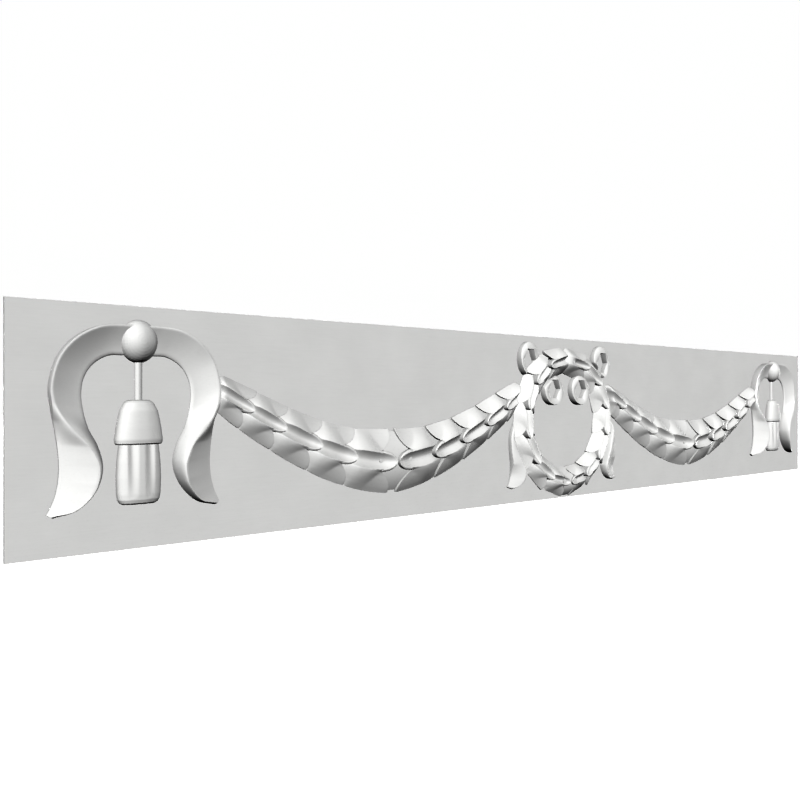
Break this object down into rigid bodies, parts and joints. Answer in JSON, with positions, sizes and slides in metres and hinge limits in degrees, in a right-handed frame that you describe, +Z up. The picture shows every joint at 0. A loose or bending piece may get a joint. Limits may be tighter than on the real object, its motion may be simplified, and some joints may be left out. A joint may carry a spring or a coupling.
{
  "type": "carved onlay panel",
  "caption": "Long flat panel with carved relief: a leaf wreath with a ribbon bow in the middle, leaf swags either side, and ribbon drapes with tassels at the ends. Fixed flat to a surface.",
  "frame": {"origin": "centre of the panel's flat back", "axes": "+X along the panel, +Z up, the carving faces -Y"},
  "size_m": [1.2, 0.0183, 0.1868],
  "materials": {
    "carving": "smooth white primer on carved wood",
    "panel": "matt white primer on thin board"
  },
  "bodies": {
    "root": {"backing_panel": "panel", "wreath": "carving", "left_drape": "carving", "right_drape": "carving", "left_swag": "carving", "right_swag": "carving"}
  },
  "joints": []
}
